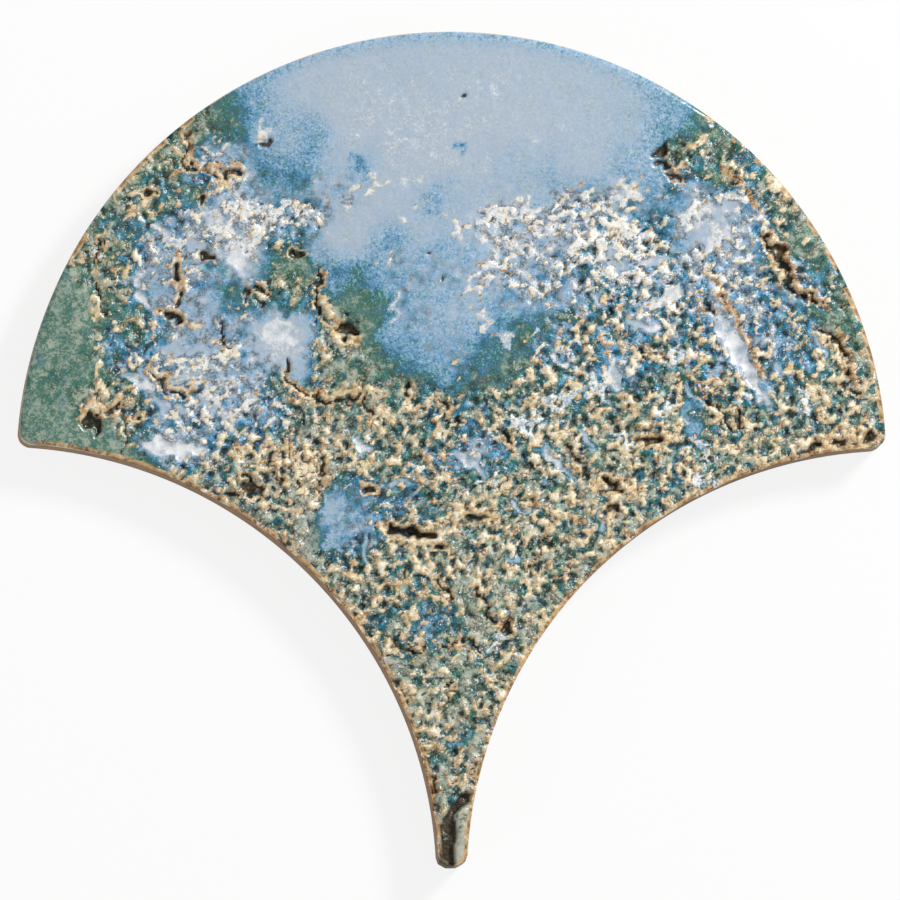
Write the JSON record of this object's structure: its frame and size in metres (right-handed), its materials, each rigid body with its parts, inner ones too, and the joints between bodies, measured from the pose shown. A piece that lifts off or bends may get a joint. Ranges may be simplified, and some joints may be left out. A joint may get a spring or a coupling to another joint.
{
  "type": "ceramic tile",
  "caption": "Fish-scale ceramic tile with a round top, two hollow flanks and a blunt tail, its glaze crumpled, pooled and torn over a fired clay body.",
  "frame": {"origin": "centre of the round top's arc, on the flat back face", "axes": "+X across the tile's width, +Y towards the round top with the tail towards -Y, +Z out of the glazed face"},
  "size_m": [0.1496, 0.1442, 0.01],
  "materials": {
    "glazed_stoneware": "thick crackled glaze, pale blue-grey where smooth and tan, green and blue where torn, over brown unglazed clay on the sides and back"
  },
  "bodies": {
    "root": {"tile": "glazed_stoneware"}
  },
  "joints": []
}
